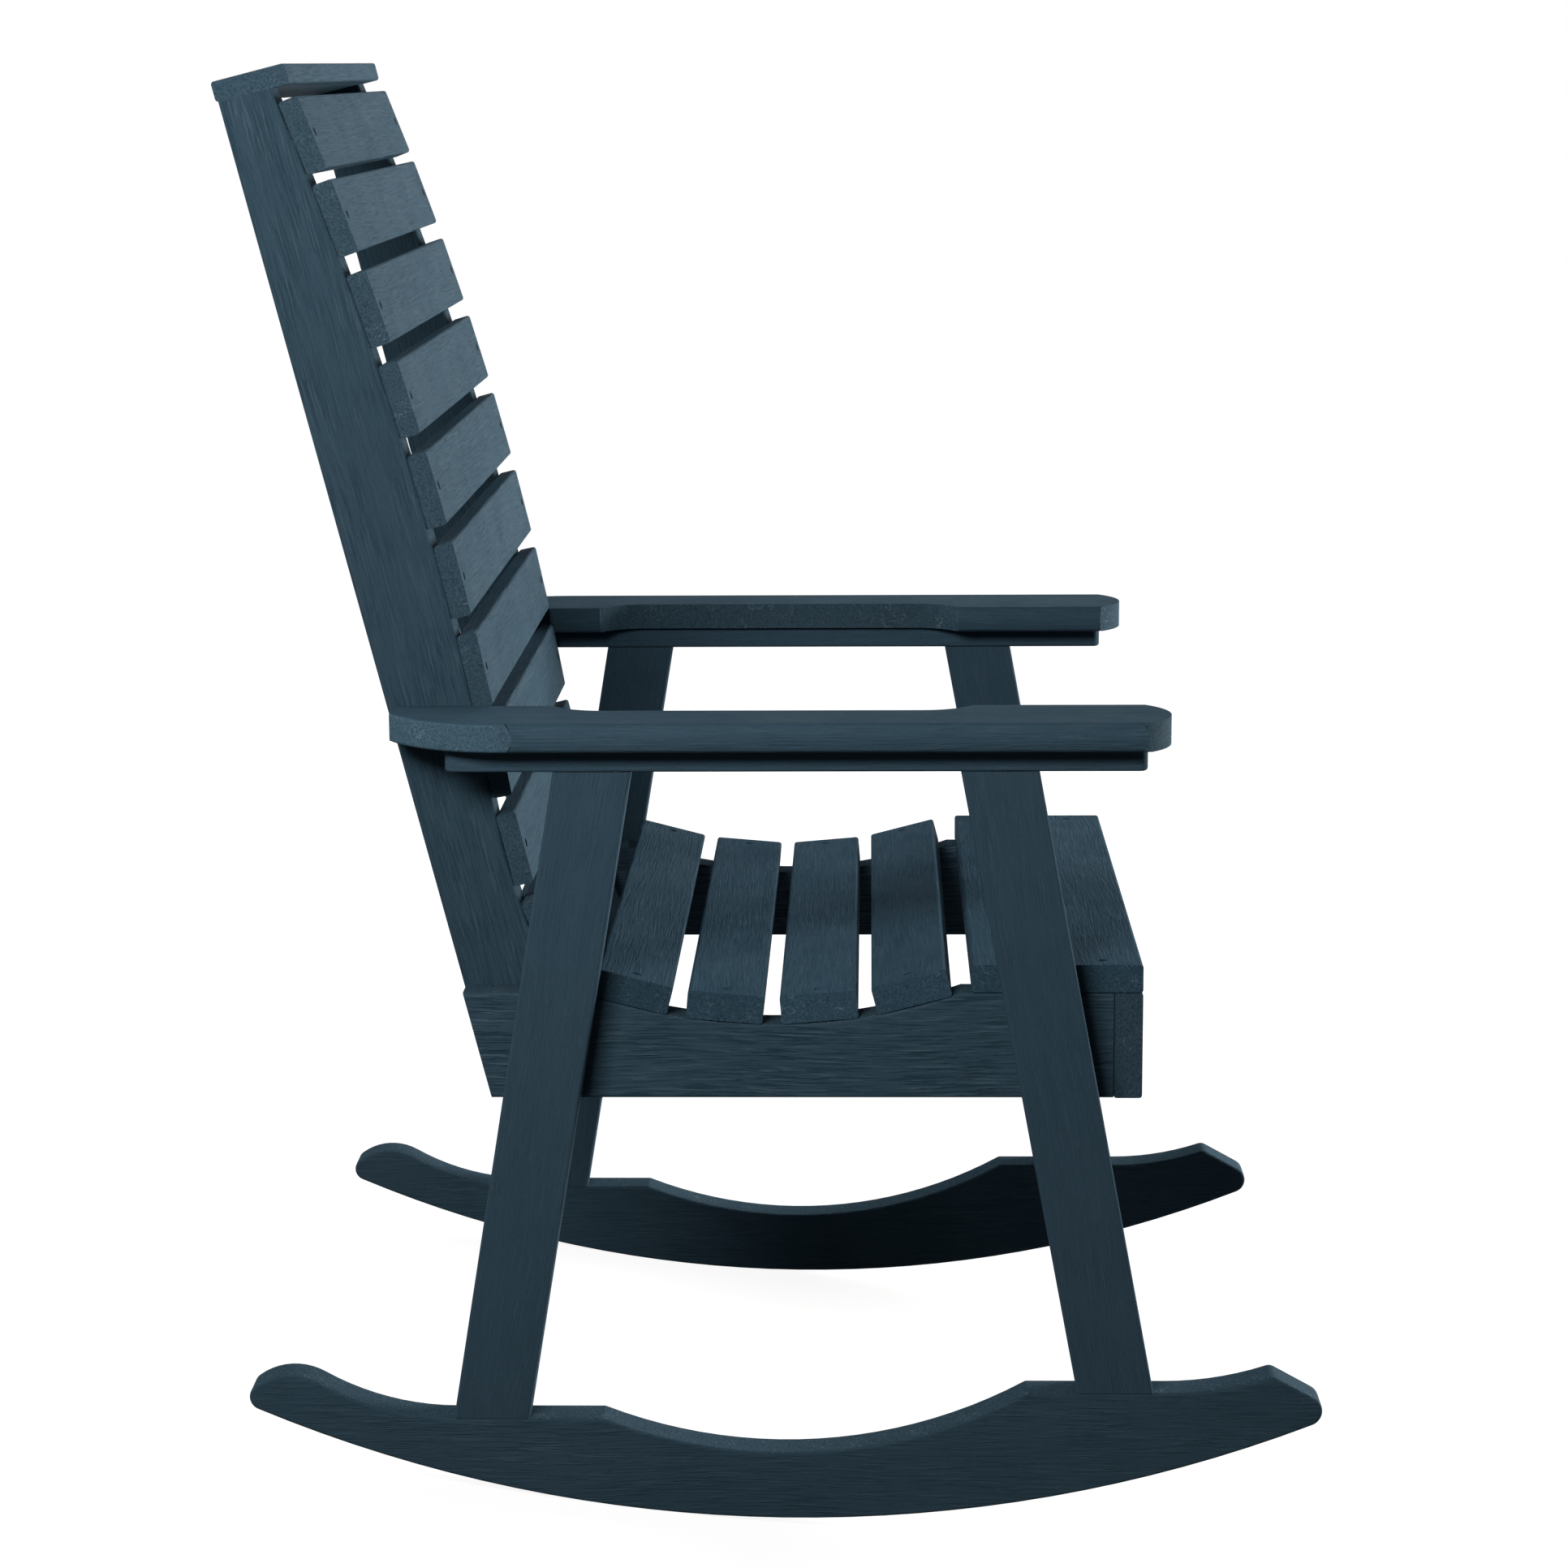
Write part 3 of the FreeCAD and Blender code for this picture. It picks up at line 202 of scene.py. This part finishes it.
def lumber(name, grain, cut, seed, fineness, contrast, relief, shade, seams):
    """Moulded plastic board: embossed strokes along the grain, and mottled, pitted faces where it was cut.

    cut is a function of the nodes, the place and the face's direction that gives 1 on a cut face. fineness is
    the number of strokes per metre across the grain, contrast and relief say how strongly they show in colour
    and in height, shade is the board's painted light and shade, and seams says whether the front joints cross it.
    """
    material = bpy.data.materials.new(name)
    n = Nodes(material)
    coordinates = n.add("ShaderNodeTexCoord").outputs
    place, facing = coordinates["Object"], coordinates["Normal"]

    # the pattern's own place wanders a little and wriggles, so the strokes aren't ruled
    pattern = n.vector("ADD", place, seed)
    wander = n.centred(n.noise(pattern, 6.0, detail=0.0, output="Color"), 0.007)
    wriggle = n.centred(n.noise(pattern, 90.0, detail=1.0, output="Color"), 0.0009)
    pattern = n.vector("ADD", n.vector("ADD", pattern, wander), wriggle)

    patches = n.noise(pattern, 14.0, detail=3.0, roughness=0.6)
    skin_tone, skin_height = moulded_skin(n, pattern, grain, fineness, contrast, patches)
    cut_tone, cut_height = foamed_core(n, pattern)
    if cut is routed_arm:
        # painted highlight: the cut is painted paler on the sweep behind, where the side light falls on it
        cut_tone = n.scaled(cut_tone, n.ramp(n.along(place, LENGTHWISE), *SWEEP_START, 0.95, 1.4))

    is_cut = cut(n, place, facing)
    tone = n.mix(is_cut, skin_tone, cut_tone)
    if seams:
        tone = n.mix(n.times(front_seams(n, place, facing), 0.85), tone, SEAM)
    # painted light and shade: each board's tint for how the lamps fall on it
    tone = n.vector("MULTIPLY", tone, shade)
    roughness = n.math("ADD", n.ramp(patches, 0.3, 0.7, 0.62, 0.72), n.times(is_cut, 0.10))
    height = n.mix_numbers(is_cut, skin_height, cut_height)
    bump = n.add("ShaderNodeBump", {"Height": height, "Strength": 0.60, "Distance": RELIEF_DEPTH * relief})
    if cut is routed_arm:
        # the moulded edge is a little crowned from top to bottom
        crown = n.times(n.times(arm_height_squared(n, place), -CROWN), moulded_sides(n, place))
        bump = n.add("ShaderNodeBump", {"Height": crown, "Strength": 1.0, "Distance": 1.0,
                                        "Normal": bump.outputs[0]})
    shader = n.add("ShaderNodeBsdfPrincipled", {
        "Base Color": tone, "Roughness": roughness, "Specular IOR Level": 0.01, "Normal": bump.outputs[0]})
    n.add("ShaderNodeOutputMaterial", {"Surface": shader.outputs[0]})
    return material


def end_cut(axis):
    """Cut faces at the ends of a board along axis."""
    def cut(n, place, facing):
        return n.ramp(n.facing_along(facing, axis), 0.70, 0.82)
    return cut


def sawn_edges(n, place, facing):
    """All faces but the two broad ones of a board sawn to an outline in the side plane."""
    return n.falling(n.facing_along(facing, ACROSS), 0.55, 0.80)


def front_seams(n, place, facing):
    """1 in the dark joints between the front seat board, the apron and the rail ends."""
    y = n.along(place, LENGTHWISE)
    height = n.along(place, UPRIGHT)
    beside = n.falling(n.facing_along(facing, UPRIGHT), 0.3, 0.6)
    in_front = n.falling(y, *FRONT_BOARD_REAR)
    under_board = n.times(n.between(height, RAIL_TOP - HALF_SEAM, RAIL_TOP + HALF_SEAM),
                          n.times(beside, in_front))
    outer = n.ramp(n.facing_along(facing, ACROSS), 0.4, 0.7)
    below = n.falling(height, RAIL_TOP, RAIL_TOP + SOFT_LIMIT)
    behind_apron = n.times(n.between(y, APRON_REAR - HALF_SEAM, APRON_REAR + HALF_SEAM),
                           n.times(outer, below))
    return n.math("MAXIMUM", under_board, behind_apron)


def arm_height_squared(n, place):
    """Square of the height over the arm's middle plane."""
    height = n.math("SUBTRACT", n.along(place, UPRIGHT), ARM_MIDDLE_HEIGHT)
    return n.math("POWER", n.math("ABSOLUTE", height), 2.0)


def moulded_sides(n, place):
    """1 along the arm's straight moulded edges: outside, and inside before and behind the long cut-out.

    The ends of the outer one are curved, as they are where a cut meets a crowned edge.
    """
    x = n.math("ABSOLUTE", n.along(place, ACROSS))
    y = n.along(place, LENGTHWISE)
    curved = n.math("SUBTRACT", y, n.times(arm_height_squared(n, place), END_CURVE))
    outside = n.times(n.ramp(x, *ARM_OUTER_EDGE), n.between(curved, MOULDED_FRONT, MOULDED_REAR_OUTSIDE))
    inside = n.times(n.falling(x, *ARM_INNER_EDGE), n.between(y, MOULDED_FRONT, MOULDED_REAR_INSIDE))
    return n.math("MAXIMUM", outside, inside)


def routed_arm(n, place, facing):
    """The arm's outline is routed, but for the straight moulded edges."""
    outline = n.falling(n.facing_along(facing, UPRIGHT), 0.55, 0.80)
    return n.math("SUBTRACT", outline, moulded_sides(n, place), clamp=True)


def screw_steel(name):
    material = bpy.data.materials.new(name)
    n = Nodes(material)
    place = n.add("ShaderNodeTexCoord").outputs["Object"]
    turned = n.noise(place, 2600.0, detail=1.0)
    stained = n.noise(place, 420.0)
    tone = n.mix(n.ramp(stained, 0.4, 0.65), (0.050, 0.055, 0.060, 1), (0.16, 0.165, 0.17, 1))
    bump = n.add("ShaderNodeBump", {"Height": turned, "Strength": 0.25, "Distance": 0.0002})
    shader = n.add("ShaderNodeBsdfPrincipled", {
        "Base Color": tone, "Metallic": 1.0, "Roughness": n.ramp(stained, 0.3, 0.7, 0.35, 0.55),
        "Normal": bump.outputs[0]})
    n.add("ShaderNodeOutputMaterial", {"Surface": shader.outputs[0]})
    return material


def dress(node, material):
    """Give a CAD node its one material."""
    mesh = nodes[node].data
    mesh.materials.clear()
    mesh.materials.append(material)
    for polygon in mesh.polygons:
        polygon.material_index = 0


def seeded(index):
    """A shift of the pattern for each board, so that no two look the same."""
    return (0.37 * index % 3.1, 0.83 * index % 4.3, 0.59 * index % 5.7)


def shade_of(node):
    """Painted light and shade for the board: the first start of a name in PAINTED_LIGHTNESS that fits, and
    SEAT_PAINTED_TINT.
    """
    lightness = next((value for start, value in PAINTED_LIGHTNESS.items() if node.startswith(start)), 1.0)
    tint = SEAT_PAINTED_TINT if node.startswith("seat_slat") else (1, 1, 1)
    return tuple(lightness * value for value in tint)


# Each board's grain direction, cut faces, fineness, contrast and relief
kinds = []
for side in ("left", "right"):
    kinds += [
        (f"rocker_{side}", LENGTHWISE, sawn_edges, 560, 0.45, 0.7),
        (f"front_leg_{side}", FRONT_LEG, end_cut(UPRIGHT), 720, 0.28, 0.4),
        (f"rear_leg_{side}", REAR_LEG, end_cut(UPRIGHT), 720, 0.28, 0.4),
        (f"arm_support_{side}", LENGTHWISE, end_cut(LENGTHWISE), 620, 0.30, 0.5),
        (f"arm_{side}", LENGTHWISE, routed_arm, 620, 0.35, 0.5),
        (f"seat_rail_{side}", LENGTHWISE, sawn_edges, 540, 1.15, 1.1),
        (f"back_post_{side}", POST, sawn_edges, 580, 0.65, 1.0),
    ]
cross_boards = ["front_apron", "rear_cross_rail", "top_cap", "seat_slat_front"]
cross_boards += [f"seat_slat_{index}" for index in range(2, 6)]
cross_boards += [f"back_slat_{index:02d}" for index in range(1, 11)]
kinds += [(node, ACROSS, end_cut(ACROSS), 520, 0.60, 1.1) for node in cross_boards]
SEAMED = ("seat_rail_left", "seat_rail_right", "front_apron", "seat_slat_front")
for index, (node, grain, cut, fineness, contrast, relief) in enumerate(kinds, start=1):
    dress(node, lumber(f"lumber_{node}", grain, cut, seeded(index), fineness, contrast, relief,
                       shade_of(node), node in SEAMED))
steel = screw_steel("screw_steel")
for node in nodes:
    if node.endswith("_screws"):
        dress(node, steel)

# Camera: opposite the middle of the chair's right side, a little higher than the top cap and looking down.
# The photograph was turned until the seat looked level, and the camera is turned by as much.
camera_data = bpy.data.cameras.new("camera")
camera_data.sensor_width = 36
camera_data.lens = 85.451
camera_data.clip_end = 100
camera = bpy.data.objects.new("camera", camera_data)
camera.location = (-3.13020, -0.00618, 1.14760)
camera.rotation_euler = (math.radians(78.8652), math.radians(-6.6562), math.radians(-88.7039))
bpy.context.scene.collection.objects.link(camera)
bpy.context.scene.camera = camera
bpy.context.scene.view_settings.view_transform = "Standard"


def softbox(name, location, target, width, height, power, color=(1, 1, 1), glossy=True):
    data = bpy.data.lights.new(name, "AREA")
    data.color = color
    data.shape = "RECTANGLE"
    data.size = width
    data.size_y = height
    data.energy = power
    lamp = bpy.data.objects.new(name, data)
    lamp.location = location
    lamp.rotation_euler = (Vector(target) - Vector(location)).to_track_quat("-Z", "Y").to_euler()
    lamp.visible_glossy = glossy
    bpy.context.scene.collection.objects.link(lamp)


# Soft light from the camera's side, a little behind the chair, and a larger one in front, towards the far side
softbox("side_light", (-1.85, 0.76, 1.49), (0, 0.45, 1.3), 0.9, 0.5, 50, color=(1, 0.975, 0.95))
softbox("front_light", (1.00, -2.90, 1.18), (0, 0, 0.75), 1.3, 1.3, 228, color=(1, 0.93, 0.88))
# Fills for the left side and the back, which the camera doesn't see
softbox("left_fill", (3.0, -0.6, 1.45), (0, 0, 0.5), 1.4, 1.4, 70, glossy=False)
softbox("rear_fill", (1.0, 3.4, 1.2), (0, 0, 0.6), 1.4, 1.4, 60, glossy=False)

# Background: white for the camera and in reflections, dim for everything else
world = bpy.data.worlds.new("world")
bpy.context.scene.world = world
n = Nodes(world)
ambient = n.add("ShaderNodeBackground", {"Color": (0.86, 0.93, 1, 1), "Strength": 0.05})
white = n.add("ShaderNodeBackground", {"Color": (1, 1, 1, 1), "Strength": 1.0})
sky = n.add("ShaderNodeMixShader", {0: n.shows_background(), 1: ambient.outputs[0], 2: white.outputs[0]})
n.add("ShaderNodeOutputWorld", {"Surface": sky.outputs[0]})

# Floor: pale paper that takes the chair's shadow, and grows as white as the background away from the chair
FLOOR_REACH = 30
corners = [(-FLOOR_REACH, -FLOOR_REACH, 0), (FLOOR_REACH, -FLOOR_REACH, 0),
           (FLOOR_REACH, FLOOR_REACH, 0), (-FLOOR_REACH, FLOOR_REACH, 0)]
mesh = bpy.data.meshes.new("floor")
mesh.from_pydata(corners, [], [(0, 1, 2, 3)])
floor = bpy.data.objects.new("floor", mesh)
bpy.context.scene.collection.objects.link(floor)
paper = bpy.data.materials.new("paper")
n = Nodes(paper)
matt = n.add("ShaderNodeBsdfDiffuse", {"Color": (0.12, 0.12, 0.12, 1)})
away = n.vector("LENGTH", n.add("ShaderNodeTexCoord").outputs["Object"], output=1)
glow = n.times(n.shows_background(), n.ramp(away, 1.2, 3.0, 0.92, 1.0))
glow = n.add("ShaderNodeEmission", {"Color": (1, 1, 1, 1), "Strength": glow})
surface = n.add("ShaderNodeAddShader", {0: matt.outputs[0], 1: glow.outputs[0]})
n.add("ShaderNodeOutputMaterial", {"Surface": surface.outputs[0]})
mesh.materials.append(paper)
